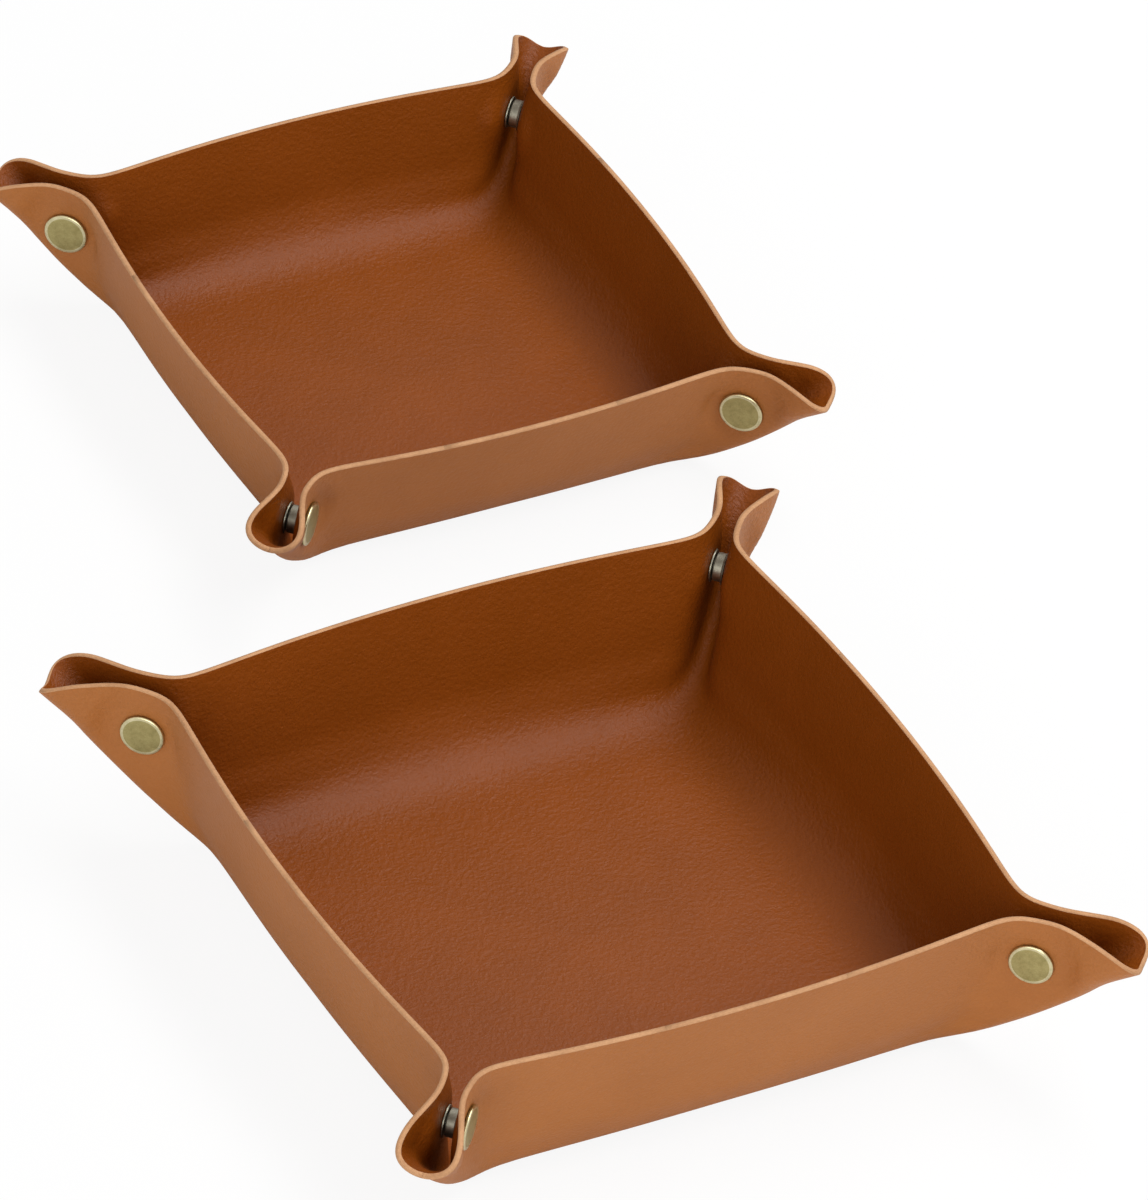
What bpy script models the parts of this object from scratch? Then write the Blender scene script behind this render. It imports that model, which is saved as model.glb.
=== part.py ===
"""A set of two snap-corner trays, each one flat square of leather pinched up by four press studs.

Metres, +Z up. The large tray stands centred on the origin, and the small one behind it. Each corner's
press stud is a cap, socket and ring spring on one layer of the leather, and a stud and post on the other.
"""
import math

import bmesh
import bpy
from mathutils import Matrix, Vector

# The leather, alike in both trays
LEATHER_THICK = 0.0016
LAYER_SPACE = 0.0044
STUD_FROM_RIM = 0.0148
PINCH_ROUNDING = 0.0022
PRESSED_RADIUS = 0.0100
PRESSED_FADE = 0.0060

# The large tray: its flat square, and the walls and ears that are folded from it
LARGE_SHEET = 0.254
LARGE_CORNER_RADIUS = 0.0235
LARGE_WALL = 0.0618
LARGE_BEND_RADIUS = 0.0193
LARGE_BOW = 0.0027
LARGE_STUD_FROM_SIDE = 0.0376
LARGE_EAR_HALF_WIDTH = 0.0078
LARGE_EAR_DROOP = 0.0054
LARGE_FOOT_REACH = 0.0095

# The small tray, in the same order, and where it stands
SMALL_SHEET = 0.203
SMALL_CORNER_RADIUS = 0.019
SMALL_WALL = 0.0485
SMALL_BEND_RADIUS = 0.0155
SMALL_BOW = 0.0024
SMALL_STUD_FROM_SIDE = 0.0300
SMALL_EAR_HALF_WIDTH = 0.0073
SMALL_EAR_DROOP = 0.0050
SMALL_FOOT_REACH = 0.0075
SMALL_PLACE_X = 0.0675
SMALL_PLACE_Y = 0.2305
SMALL_TURN = math.radians(-1.0)

# Angles and shares of the folded form, alike in both trays
WALL_SLOPE = math.radians(79.0)
CREASE_RISE = math.radians(41.0)
BEND_FADE_SHARE = 0.39
EAR_OPENING_SHARE = 0.61

# How far across a corner's crease the leather is rounded, from the crease's foot up to the ear
EAR_REACH = 0.0030
FOOT_SHARE = 0.62
CREASE_SAMPLES = 5

# The lines that divide the sheet, as shares from its edge to the stud, on to the ear's foot, and so on
RIM_LINE_SHARES = (0.0, 0.34, 0.67, 1.0)
EAR_LINE_SHARES = (0.24, 0.50, 0.76, 1.0)
WALL_LINE_SHARES = (0.33, 0.66, 1.0)
FLOOR_LINE_SHARES = (0.5, 1.0)
RING_STEPS = 40

# Running clearance between pieces that touch
SEAT_GAP = 0.0003

# The press stud's rivet barrels, through the leather
BARREL_RADIUS = 0.0011
BARREL_WALL = 0.00035
BARREL_FLARE = 0.0005
FLARE_THICK = 0.00035

# The press stud's outer layer: cap, socket and ring spring
CAP_RADIUS = 0.00625
CAP_THICK = 0.0010
CAP_BEVEL = 0.0005
CAP_CROWN = 0.0002
SOCKET_FLANGE_RADIUS = 0.0050
SOCKET_PLATE = 0.0004
SOCKET_DEPTH = 0.0031
SOCKET_LIP = 0.0003
SOCKET_WALL = 0.00045
SPRING_RADIUS = 0.0029
SPRING_WIRE = 0.0007
SPRING_OPENING = math.radians(48.0)

# The press stud's inner layer: stud and post
STUD_FLANGE_RADIUS = 0.0046
STUD_FLANGE = 0.0004
STUD_NECK_RADIUS = 0.0022
STUD_BULGE = 0.0003
STUD_HEIGHT = 0.0024
POST_HEAD_RADIUS = 0.0040
POST_HEAD_THICK = 0.0006

CAP_STEPS = 20
TURNED_STEPS = 14
SPRING_STEPS = 12
SPRING_SIDES = 5
HOLE_STEPS = 12
CUT_OVERRUN = 0.0015

# Each corner by the signs of its X and Y, and by the wall whose layer carries the cap
CORNERS = {
    "front": (-1, -1, "y"),
    "right": (1, -1, "y"),
    "back": (1, 1, "x"),
    "left": (-1, 1, "x"),
}


def clear_scene():
    """Removes every object that the file opened with."""
    for found in list(bpy.data.objects):
        bpy.data.objects.remove(found)


def make_material(name, colour, roughness, metallic):
    """One Principled material from its colour, roughness and metallic value."""
    material = bpy.data.materials.new(name)
    material.use_nodes = True
    shader = material.node_tree.nodes["Principled BSDF"]
    shader.inputs["Base Color"].default_value = (*colour, 1.0)
    shader.inputs["Roughness"].default_value = roughness
    shader.inputs["Metallic"].default_value = metallic
    return material


def make_empty(name, matrix, parent=None):
    """An empty at a place given in its parent's frame."""
    empty = bpy.data.objects.new(name, None)
    bpy.context.collection.objects.link(empty)
    empty.parent = parent
    empty.matrix_basis = matrix
    return empty


def add_object(name, bm, material, parent, matrix=Matrix()):
    """Puts a finished bmesh into the scene as one named, smooth-shaded object."""
    bmesh.ops.recalc_face_normals(bm, faces=bm.faces)
    mesh = bpy.data.meshes.new(name)
    bm.to_mesh(mesh)
    bm.free()
    mesh.shade_smooth()
    mesh.set_sharp_from_angle(angle=math.radians(35.0))
    mesh.materials.append(material)
    made = bpy.data.objects.new(name, mesh)
    bpy.context.collection.objects.link(made)
    made.parent = parent
    made.matrix_basis = matrix
    return made


def smooth_step(share):
    """Rises smoothly from 0 to 1 as share does."""
    share = min(max(share, 0.0), 1.0)
    return share * share * (3.0 - 2.0 * share)


class FoldedSheet:
    """The middle surface of one square sheet, folded into a tray.

    A point of the flat sheet is given by u, its distance from the centre towards the wall, and v, its
    distance along that wall from the wall's middle, with v no more than u. The ring of all points with the
    same u lies almost level in the tray. Seen from above, a ring runs along the wall, comes up beside the
    corner's diagonal at the press stud and opens again into the ear, whose nose closes on the diagonal.
    """

    def __init__(
        self, sheet, corner_radius, wall, bend_radius, bow, stud_from_side, ear_half_width, droop, foot_reach
    ):
        self.half = sheet / 2.0
        self.corner_radius = corner_radius
        self.wall = wall
        self.floor = self.half - wall
        self.bend_radius = bend_radius
        self.bow = bow
        self.stud_from_side = stud_from_side
        self.stud_u = self.half - STUD_FROM_RIM
        self.stud_v = self.half - stud_from_side
        self.pinch = (LAYER_SPACE + LEATHER_THICK) / 2.0
        self.ear_half_width = ear_half_width
        self.droop = droop
        self.foot_reach = foot_reach

    def profile(self, u):
        """Distance out and height of the wall's middle at flat distance u."""
        past = u - self.floor
        if past <= 0.0:
            return u, 0.0
        angle = min(past / self.bend_radius, WALL_SLOPE)
        straight = past - angle * self.bend_radius
        out = self.floor + self.bend_radius * math.sin(angle) + straight * math.cos(WALL_SLOPE)
        up = self.bend_radius * (1.0 - math.cos(angle)) + straight * math.sin(WALL_SLOPE)
        return out, up

    def from_diagonal(self, u, v):
        """Distance of a ring's point from the corner's diagonal plane."""
        flat = (u - v) / math.sqrt(2.0)
        out = self.profile(u)[0]
        raised = smooth_step((u - self.floor) / (BEND_FADE_SHARE * self.wall))
        bow = raised * self.bow * (v / self.floor) ** 2
        wall = (out - v) / math.sqrt(2.0) - bow - self.pinch
        beside = self.pinch + (wall + math.hypot(wall, PINCH_ROUNDING)) / 2.0
        opening = (v - self.stud_v) / (EAR_OPENING_SHARE * self.stud_from_side)
        beside += (self.ear_half_width - self.pinch) * smooth_step(opening)
        from_stud = math.hypot(u - self.stud_u, v - self.stud_v)
        pressed = 1.0 - smooth_step((from_stud - PRESSED_RADIUS) / PRESSED_FADE)
        beside += pressed * (self.pinch - beside)
        nose = math.sin(min((u - v) / beside, math.pi / 2.0))
        return flat + raised * (beside * nose - flat)

    def ring_point(self, u, v):
        """Place of flat point (u, v), found by stepping along its ring at the ring's own length."""
        across = self.from_diagonal(u, 0.0)
        along = across
        step = v / RING_STEPS
        for index in range(RING_STEPS):
            after = self.from_diagonal(u, (index + 1) * step)
            along += math.sqrt(max(step * step - (after - across) ** 2, 0.0))
            across = after
        up = self.profile(u)[1]
        up -= self.droop * smooth_step((v - self.stud_v) / self.stud_from_side) * up / self.wall
        x = (along + across) / math.sqrt(2.0)
        y = (along - across) / math.sqrt(2.0)
        return Vector((x, y, up + LEATHER_THICK / 2.0))

    def crisp_place(self, x, y):
        """Place of the flat sheet's point (x, y), in any quarter and on any wall, with sharp creases."""
        u, v = max(abs(x), abs(y)), min(abs(x), abs(y))
        found = self.ring_point(u, v)
        if abs(y) > abs(x):
            found.x, found.y = found.y, found.x
        return Vector((math.copysign(found.x, x), math.copysign(found.y, y), found.z))

    def place(self, x, y):
        """Place of the flat sheet's point (x, y), with its corner's crease rounded as leather rounds it.

        It is the mean place of the points across the crease from it, as far as the crease is soft there.
        """
        climbed = (max(abs(x), abs(y)) - self.floor) / (FOOT_SHARE * self.wall)
        reach = self.foot_reach + (EAR_REACH - self.foot_reach) * smooth_step(climbed)
        side = 1.0 if x * y >= 0.0 else -1.0
        total = Vector((0.0, 0.0, 0.0))
        weights = 0.0
        for index in range(-CREASE_SAMPLES, CREASE_SAMPLES + 1):
            share = index / (CREASE_SAMPLES + 1)
            weight = 1.0 + math.cos(math.pi * share)
            step = reach * share / math.sqrt(2.0)
            total += weight * self.crisp_place(x + step, y - side * step)
            weights += weight
        return total / weights

    def round_corner(self, x, y):
        """Draws a flat point in a sheet's square corner in to the corner's radius."""
        inner = self.half - self.corner_radius
        right, up = abs(x) - inner, abs(y) - inner
        if right <= 0.0 or up <= 0.0:
            return x, y
        scale = max(right, up) / math.hypot(right, up)
        return math.copysign(inner + right * scale, x), math.copysign(inner + up * scale, y)

    def lines(self):
        """Distances from the centre of the lines that divide the flat sheet, on both sides of it."""
        to_stud = [STUD_FROM_RIM * share for share in RIM_LINE_SHARES]
        ear = self.stud_from_side - STUD_FROM_RIM
        to_side = [STUD_FROM_RIM + ear * share for share in EAR_LINE_SHARES]
        foot = self.wall - self.stud_from_side
        to_floor = [self.stud_from_side + foot * share for share in WALL_LINE_SHARES]
        to_centre = [self.wall + self.floor * share for share in FLOOR_LINE_SHARES]
        positive = [self.half - line for line in to_stud + to_side + to_floor + to_centre[:-1]]
        return [-line for line in positive] + [0.0] + positive[::-1]

    def diagonal(self, corner):
        """Unit vector out along a corner's diagonal, and its partner out through the corner's cap."""
        sign_x, sign_y, cap_wall = CORNERS[corner]
        side = 1.0 if cap_wall == "x" else -1.0
        outward = Vector((sign_x, sign_y, 0.0)).normalized()
        through = Vector((side * sign_x, -side * sign_y, 0.0)).normalized()
        return outward, through

    def stud_frame(self, corner):
        """Frame of a press stud: its Z points out through the cap, its origin lies between the layers."""
        outward, through = self.diagonal(corner)
        found = self.ring_point(self.stud_u, self.stud_v)
        origin = outward * (found.x + found.y) / math.sqrt(2.0) + Vector((0.0, 0.0, found.z))
        up = Vector((0.0, 0.0, 1.0))
        axes = Matrix((up.cross(through), up, through)).transposed().to_4x4()
        return Matrix.Translation(origin) @ axes

    def hinge_frame(self, corner):
        """Frame on the ear's crease, about which the cap's layer swings: its X runs up the crease."""
        outward, through = self.diagonal(corner)
        stud = self.stud_frame(corner).translation
        crease = outward * math.cos(CREASE_RISE) + Vector((0.0, 0.0, math.sin(CREASE_RISE)))
        nose = self.place(*(Vector(CORNERS[corner][:2]) * self.stud_v))
        origin = nose + crease * crease.dot(stud - nose)
        axes = Matrix((crease, through.cross(crease), through)).transposed().to_4x4()
        return Matrix.Translation(origin) @ axes


def add_hole_cutter(name, sheet, parent):
    """Bars through the layers of the four ears, for the press studs' holes."""
    bm = bmesh.new()
    hole = BARREL_RADIUS + SEAT_GAP
    length = LAYER_SPACE + 2.0 * (LEATHER_THICK + CUT_OVERRUN)
    for corner in CORNERS:
        frame = sheet.stud_frame(corner)
        bmesh.ops.create_cone(
            bm, cap_ends=True, segments=HOLE_STEPS, radius1=hole, radius2=hole, depth=length, matrix=frame
        )
    mesh = bpy.data.meshes.new(name)
    bm.to_mesh(mesh)
    bm.free()
    cutter = bpy.data.objects.new(name, mesh)
    bpy.context.collection.objects.link(cutter)
    cutter.parent = parent
    cutter.hide_render = True
    cutter.display_type = "WIRE"
    return cutter


def add_leather(name, sheet, material, parent):
    """One tray's leather: the folded middle surface, thickened and punched for the press studs.

    Each cell of the sheet is halved along the diagonal that runs out to the sheet's corner, so that an
    edge follows the ear's crease.
    """
    lines = sheet.lines()
    bm = bmesh.new()
    grid = [[bm.verts.new(sheet.place(*sheet.round_corner(x, y))) for y in lines] for x in lines]
    cells = len(lines) - 1
    for i in range(cells):
        for j in range(cells):
            near, right, far, left = grid[i][j], grid[i + 1][j], grid[i + 1][j + 1], grid[i][j + 1]
            if (2 * i < cells) == (2 * j < cells):
                halves = ((near, right, far), (near, far, left))
            else:
                halves = ((near, right, left), (right, far, left))
            for half in halves:
                bm.faces.new(half)
    made = add_object(name, bm, material, parent)
    thicken = made.modifiers.new("thickness", "SOLIDIFY")
    thicken.thickness = LEATHER_THICK
    thicken.offset = 0.0
    thicken.use_even_offset = True
    punch = made.modifiers.new("holes", "BOOLEAN")
    punch.operation = "DIFFERENCE"
    punch.solver = "EXACT"
    punch.object = add_hole_cutter(name + "_holes", sheet, parent)
    return made


def add_turned(name, outline, steps, material, parent, matrix):
    """A piece turned about its own Z from a closed outline of (radius, height) points."""
    bm = bmesh.new()
    points = [bm.verts.new((radius, 0.0, height)) for radius, height in outline]
    edges = [bm.edges.new((point, points[index - 1])) for index, point in enumerate(points)]
    bmesh.ops.spin(
        bm, geom=points + edges, cent=(0, 0, 0), axis=(0, 0, 1), angle=math.tau, steps=steps, use_merge=True
    )
    bmesh.ops.remove_doubles(bm, verts=bm.verts, dist=SEAT_GAP / 10.0)
    return add_object(name, bm, material, parent, matrix)


def cap_outline():
    """The cap's disc over the leather, with its barrel down through leather and socket, flared below."""
    under = LAYER_SPACE / 2.0 + LEATHER_THICK + SEAT_GAP
    top = under + CAP_THICK
    flare = socket_top() - SOCKET_PLATE - SEAT_GAP
    bore = BARREL_RADIUS - BARREL_WALL
    return [
        (0.0, under + CAP_THICK / 2.0),
        (0.0, top + CAP_CROWN),
        (CAP_RADIUS - 2.0 * CAP_BEVEL, top),
        (CAP_RADIUS, top - CAP_BEVEL),
        (CAP_RADIUS - CAP_BEVEL / 2.0, under),
        (BARREL_RADIUS, under),
        (BARREL_RADIUS, flare),
        (BARREL_RADIUS + BARREL_FLARE, flare - FLARE_THICK / 2.0),
        (BARREL_RADIUS + BARREL_FLARE, flare - FLARE_THICK),
        (bore, flare - FLARE_THICK),
        (bore, under + CAP_THICK / 2.0),
    ]


def socket_top():
    """Height of the socket's back, seated on the inside of the cap's layer."""
    return LAYER_SPACE / 2.0 - SEAT_GAP


def socket_outline():
    """The socket's cup, open towards the stud, with its mouth turned in under the ring spring."""
    top = socket_top()
    plate = top - SOCKET_PLATE
    bottom = top - SOCKET_DEPTH
    cavity = SPRING_RADIUS + SPRING_WIRE / 2.0 + SEAT_GAP
    mouth = STUD_NECK_RADIUS + STUD_BULGE + 1.5 * SEAT_GAP
    return [
        (BARREL_RADIUS + SEAT_GAP, top),
        (SOCKET_FLANGE_RADIUS, top),
        (SOCKET_FLANGE_RADIUS, plate),
        (cavity + SOCKET_WALL, plate - SOCKET_PLATE),
        (cavity + SOCKET_WALL, bottom + SOCKET_LIP),
        (cavity, bottom),
        (mouth, bottom),
        (mouth, bottom + SOCKET_LIP),
        (cavity, bottom + SOCKET_LIP),
        (cavity, plate),
        (BARREL_RADIUS + SEAT_GAP, plate),
    ]


def stud_outline():
    """The stud: a flange on the inside of its layer of leather, and a hollow head with a bulged rim."""
    base = SEAT_GAP - LAYER_SPACE / 2.0
    top = base + STUD_HEIGHT
    hollow = BARREL_RADIUS + BARREL_FLARE + SEAT_GAP
    return [
        (BARREL_RADIUS + SEAT_GAP, base),
        (STUD_FLANGE_RADIUS, base),
        (STUD_FLANGE_RADIUS, base + STUD_FLANGE),
        (STUD_NECK_RADIUS, base + STUD_FLANGE),
        (STUD_NECK_RADIUS, top - 2.0 * STUD_BULGE),
        (STUD_NECK_RADIUS + STUD_BULGE, top - STUD_BULGE),
        (STUD_NECK_RADIUS, top),
        (hollow, top),
        (hollow, base + STUD_FLANGE),
        (BARREL_RADIUS + SEAT_GAP, base + STUD_FLANGE),
    ]


def post_outline():
    """The post: a domed eyelet on the outside of the stud's layer, its barrel flared inside the stud."""
    seat = -(LAYER_SPACE / 2.0 + LEATHER_THICK + SEAT_GAP)
    flare = SEAT_GAP - LAYER_SPACE / 2.0 + STUD_FLANGE + SEAT_GAP
    bore = BARREL_RADIUS - BARREL_WALL
    return [
        (bore, seat - POST_HEAD_THICK / 2.0),
        (bore + POST_HEAD_THICK / 2.0, seat - POST_HEAD_THICK),
        (POST_HEAD_RADIUS - POST_HEAD_THICK, seat - POST_HEAD_THICK),
        (POST_HEAD_RADIUS, seat),
        (BARREL_RADIUS, seat),
        (BARREL_RADIUS, flare),
        (BARREL_RADIUS + BARREL_FLARE, flare),
        (BARREL_RADIUS + BARREL_FLARE, flare + FLARE_THICK),
        (bore, flare + FLARE_THICK),
    ]


def add_spring(name, material, parent, matrix):
    """The split ring spring, a round wire bent to most of a circle around the stud's neck."""
    bottom = socket_top() - SOCKET_DEPTH + SOCKET_LIP + SEAT_GAP
    height = bottom + SPRING_WIRE / 2.0
    bm = bmesh.new()
    rings = []
    for index in range(SPRING_STEPS + 1):
        turn = SPRING_OPENING / 2.0 + (math.tau - SPRING_OPENING) * index / SPRING_STEPS
        ring = []
        for side in range(SPRING_SIDES):
            around = math.tau * side / SPRING_SIDES
            radius = SPRING_RADIUS + SPRING_WIRE / 2.0 * math.cos(around)
            lift = height + SPRING_WIRE / 2.0 * math.sin(around)
            ring.append(bm.verts.new((radius * math.cos(turn), radius * math.sin(turn), lift)))
        rings.append(ring)
    for ring, after in zip(rings, rings[1:]):
        for side in range(SPRING_SIDES):
            bm.faces.new((ring[side - 1], ring[side], after[side], after[side - 1]))
    bm.faces.new(rings[0])
    bm.faces.new(rings[-1][::-1])
    return add_object(name, bm, material, parent, matrix)


def add_press_stud(tray, corner, sheet, parent, brass, steel):
    """One corner's press stud: three pieces on the layer that swings open, two on the other."""
    name = tray + "_" + corner
    frame = sheet.stud_frame(corner)
    hinge_frame = sheet.hinge_frame(corner)
    hinge = make_empty(name + "_hinge", hinge_frame, parent)
    on_flap = hinge_frame.inverted() @ frame
    add_turned(name + "_cap", cap_outline(), CAP_STEPS, brass, hinge, on_flap)
    add_turned(name + "_socket", socket_outline(), TURNED_STEPS, steel, hinge, on_flap)
    add_spring(name + "_spring", steel, hinge, on_flap)
    add_turned(name + "_stud", stud_outline(), TURNED_STEPS, steel, parent, frame)
    add_turned(name + "_post", post_outline(), TURNED_STEPS, brass, parent, frame)


def add_tray(tray, sheet, matrix, leather, brass, steel):
    """One tray: its sheet of leather and its four press studs."""
    parent = make_empty(tray + "_tray", matrix)
    add_leather(tray + "_leather_sheet", sheet, leather, parent)
    for corner in CORNERS:
        add_press_stud(tray, corner, sheet, parent, brass, steel)


def main():
    """Builds both trays."""
    clear_scene()
    leather = make_material("saddle_tan_leather", (0.30, 0.105, 0.035), 0.5, 0.0)
    brass = make_material("antique_brass", (0.36, 0.32, 0.18), 0.4, 1.0)
    steel = make_material("dark_nickel", (0.16, 0.15, 0.14), 0.45, 1.0)
    large = FoldedSheet(
        LARGE_SHEET, LARGE_CORNER_RADIUS, LARGE_WALL, LARGE_BEND_RADIUS, LARGE_BOW,
        LARGE_STUD_FROM_SIDE, LARGE_EAR_HALF_WIDTH, LARGE_EAR_DROOP, LARGE_FOOT_REACH,
    )
    small = FoldedSheet(
        SMALL_SHEET, SMALL_CORNER_RADIUS, SMALL_WALL, SMALL_BEND_RADIUS, SMALL_BOW,
        SMALL_STUD_FROM_SIDE, SMALL_EAR_HALF_WIDTH, SMALL_EAR_DROOP, SMALL_FOOT_REACH,
    )
    behind = Matrix.Translation((SMALL_PLACE_X, SMALL_PLACE_Y, 0.0)) @ Matrix.Rotation(SMALL_TURN, 4, "Z")
    add_tray("large", large, Matrix(), leather, brass, steel)
    add_tray("small", small, behind, leather, brass, steel)


main()
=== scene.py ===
"""Looks of a set of two snap-corner leather trays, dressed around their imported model."""
from __future__ import annotations

import logging
import math
from dataclasses import dataclass, replace
from enum import Enum
from functools import cache
from typing import Iterable, Sequence

import bpy
import numpy as np
from mathutils import Matrix, Vector


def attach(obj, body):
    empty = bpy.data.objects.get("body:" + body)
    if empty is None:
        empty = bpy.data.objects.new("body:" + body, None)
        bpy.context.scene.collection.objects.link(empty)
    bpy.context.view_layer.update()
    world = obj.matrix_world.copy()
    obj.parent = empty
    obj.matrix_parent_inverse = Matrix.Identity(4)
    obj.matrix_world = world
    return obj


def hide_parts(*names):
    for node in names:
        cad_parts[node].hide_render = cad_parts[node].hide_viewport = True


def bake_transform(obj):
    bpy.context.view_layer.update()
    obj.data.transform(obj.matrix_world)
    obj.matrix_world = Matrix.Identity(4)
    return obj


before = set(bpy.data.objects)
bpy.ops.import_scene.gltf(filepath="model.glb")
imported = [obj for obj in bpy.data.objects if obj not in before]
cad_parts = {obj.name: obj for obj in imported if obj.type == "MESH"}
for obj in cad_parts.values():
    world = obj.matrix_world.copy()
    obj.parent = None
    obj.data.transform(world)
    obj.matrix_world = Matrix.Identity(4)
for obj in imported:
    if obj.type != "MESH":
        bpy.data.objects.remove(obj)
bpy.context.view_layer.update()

LOG = logging.getLogger("trays")
OWN_PLACE = "own_place"
NOISE_LOW, NOISE_MIDDLE, NOISE_HIGH = 0.35, 0.5, 0.65
LEAST_REACH = 1e-9
LEAST_LENGTH = 1e-12
ROOT_TWO = math.sqrt(2.0)

Array = np.ndarray
Piece = bpy.types.Object
Colour = tuple[float, float, float]
Spot = tuple[float, float, float]
Outline = list[tuple[float, float]]
Cell = tuple[int, ...]


# Shader maths


@dataclass(frozen=True)
class Value:
    """A node's output. Arithmetic on it adds Math nodes to its tree."""

    tree: bpy.types.NodeTree
    socket: bpy.types.NodeSocket

    def maths(self, operation: str, left: Value | float, right: Value | float) -> Value:
        """Result of one new Math node on a left and a right value."""
        return Nodes(self.tree).add("ShaderNodeMath", {"operation": operation}, {0: left, 1: right})

    def __add__(self, other: Value | float) -> Value:
        """Sum of this value and another."""
        return self.maths("ADD", self, other)

    __radd__ = __add__

    def __sub__(self, other: Value | float) -> Value:
        """This value less another."""
        return self.maths("SUBTRACT", self, other)

    def __rsub__(self, other: float) -> Value:
        """A number less this value."""
        return self.maths("SUBTRACT", other, self)

    def __mul__(self, other: Value | float) -> Value:
        """Product of this value and another."""
        return self.maths("MULTIPLY", self, other)

    __rmul__ = __mul__


@dataclass(frozen=True)
class Nodes:
    """Adds nodes to one shader tree."""

    tree: bpy.types.NodeTree

    def add(
        self, kind: str, settings: dict | None = None, inputs: dict | None = None, output: int | str = 0
    ) -> Value:
        """Adds one node, with its settings before its sockets.

        Args:
            kind: The node's type.
            settings: Its properties by name.
            inputs: Values or links for its sockets, by name or number.
            output: Which of its outputs to return.

        Returns:
            The chosen output.
        """
        node = self.tree.nodes.new(kind)
        for name, setting in (settings or {}).items():
            setattr(node, name, setting)
        for key, given in (inputs or {}).items():
            socket = node.inputs[key]
            if isinstance(given, Value):
                self.tree.links.new(given.socket, socket)
            else:
                socket.default_value = given
        return Value(self.tree, node.outputs[output])

    def own_place(self) -> Value:
        """Coordinates in the piece's own form, in metres, which move with it."""
        return self.add("ShaderNodeAttribute", {"attribute_name": OWN_PLACE}, output="Vector")

    def noise(self, place: Value, size: float, detail: float, roughness: float = 0.5) -> Value:
        """Noise around 0.5, its bumps about size metres apart, with detail finer layers."""
        return self.add(
            "ShaderNodeTexNoise", None,
            {"Vector": place, "Scale": 1.0 / size, "Detail": detail, "Roughness": roughness},
        )

    def blend_colour(self, share: Value, dark: Colour, light: Colour) -> Value:
        """A colour that goes from dark to light as a noise rises through its middle range."""
        by = self.add("ShaderNodeMapRange", None, {0: share, 1: NOISE_LOW, 2: NOISE_HIGH})
        return self.add("ShaderNodeMix", {"data_type": "RGBA"}, {0: by, 6: (*dark, 1.0), 7: (*light, 1.0)}, 2)

    def bump(self, height: Value, rise: float, strength: float) -> Value:
        """A normal that follows a relief, which rises so many metres where the height is 1."""
        return self.add("ShaderNodeBump", None, {"Height": height, "Distance": rise, "Strength": strength})

    def ray(self, kind: str) -> Value:
        """Whether a ray is of a kind, as 1 or 0."""
        return self.add("ShaderNodeLightPath", output=f"Is {kind} Ray")


def new_material(name: str) -> tuple[bpy.types.Material, Nodes, bpy.types.Node]:
    """Starts one Principled material.

    Args:
        name: The material's name.

    Returns:
        The material, its nodes and its shader node.
    """
    material = bpy.data.materials.new(name)
    material.use_nodes = True
    return material, Nodes(material.node_tree), material.node_tree.nodes["Principled BSDF"]


def connect(value: Value, shader: bpy.types.Node, socket: str) -> None:
    """Links a value to one of a shader's sockets."""
    value.tree.links.new(value.socket, shader.inputs[socket])


# Finishes


@dataclass(frozen=True)
class LeatherFinish:
    """One face of smooth, finely grained leather."""

    name: str
    dark: Colour
    light: Colour
    roughness: float
    gloss: float
    cloud_size: float = 0.050
    cloud_share: float = 0.5
    rub_size: float = 0.014
    rub_share: float = 0.2
    rub_roughness: float = 0.06
    grain_size: float = 0.0006
    grain_share: float = 0.3
    grain_roughness: float = 0.12
    grain_relief: float = 0.7
    pore_size: float = 0.0013
    pore_softness: float = 0.6
    pore_relief: float = 0.6
    relief_height: float = 0.00032
    relief_strength: float = 0.8

    def make(self) -> bpy.types.Material:
        """Builds the material.

        Returns:
            Leather with a clouded colour, fine pebbled grain and a roughness that follows both.
        """
        material, nodes, shader = new_material(self.name)
        place = nodes.own_place()
        clouds = nodes.noise(place, self.cloud_size, 3.0)
        rubs = nodes.noise(place, self.rub_size, 4.0, 0.6)
        grain = nodes.noise(place, self.grain_size, 2.0, 0.6)
        pores = nodes.add(
            "ShaderNodeTexVoronoi", {"feature": "SMOOTH_F1"},
            {"Vector": place, "Scale": 1.0 / self.pore_size, "Smoothness": self.pore_softness},
        )
        share = clouds * self.cloud_share + rubs * self.rub_share + grain * self.grain_share
        connect(nodes.blend_colour(share, self.dark, self.light), shader, "Base Color")
        worn = (rubs - NOISE_MIDDLE) * self.rub_roughness + (grain - NOISE_MIDDLE) * self.grain_roughness
        connect(self.roughness + worn, shader, "Roughness")
        relief = grain * self.grain_relief + pores * self.pore_relief
        connect(nodes.bump(relief, self.relief_height, self.relief_strength), shader, "Normal")
        shader.inputs["Specular IOR Level"].default_value = self.gloss
        return material


@dataclass(frozen=True)
class CutEdgeFinish:
    """The raw cut edge of the leather: pale compressed fibre."""

    name: str
    dark: Colour
    light: Colour
    roughness: float = 0.8
    fibre_size: float = 0.0009
    fibre_share: float = 0.5
    stain_size: float = 0.010
    stain_share: float = 0.5
    relief_height: float = 0.0001
    relief_strength: float = 0.5

    def make(self) -> bpy.types.Material:
        """Builds the material.

        Returns:
            Pale, dull fibre with small stains.
        """
        material, nodes, shader = new_material(self.name)
        place = nodes.own_place()
        fibre = nodes.noise(place, self.fibre_size, 3.0, 0.7)
        stain = nodes.noise(place, self.stain_size, 2.0)
        share = fibre * self.fibre_share + stain * self.stain_share
        connect(nodes.blend_colour(share, self.dark, self.light), shader, "Base Color")
        connect(nodes.bump(fibre, self.relief_height, self.relief_strength), shader, "Normal")
        shader.inputs["Roughness"].default_value = self.roughness
        return material


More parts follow.
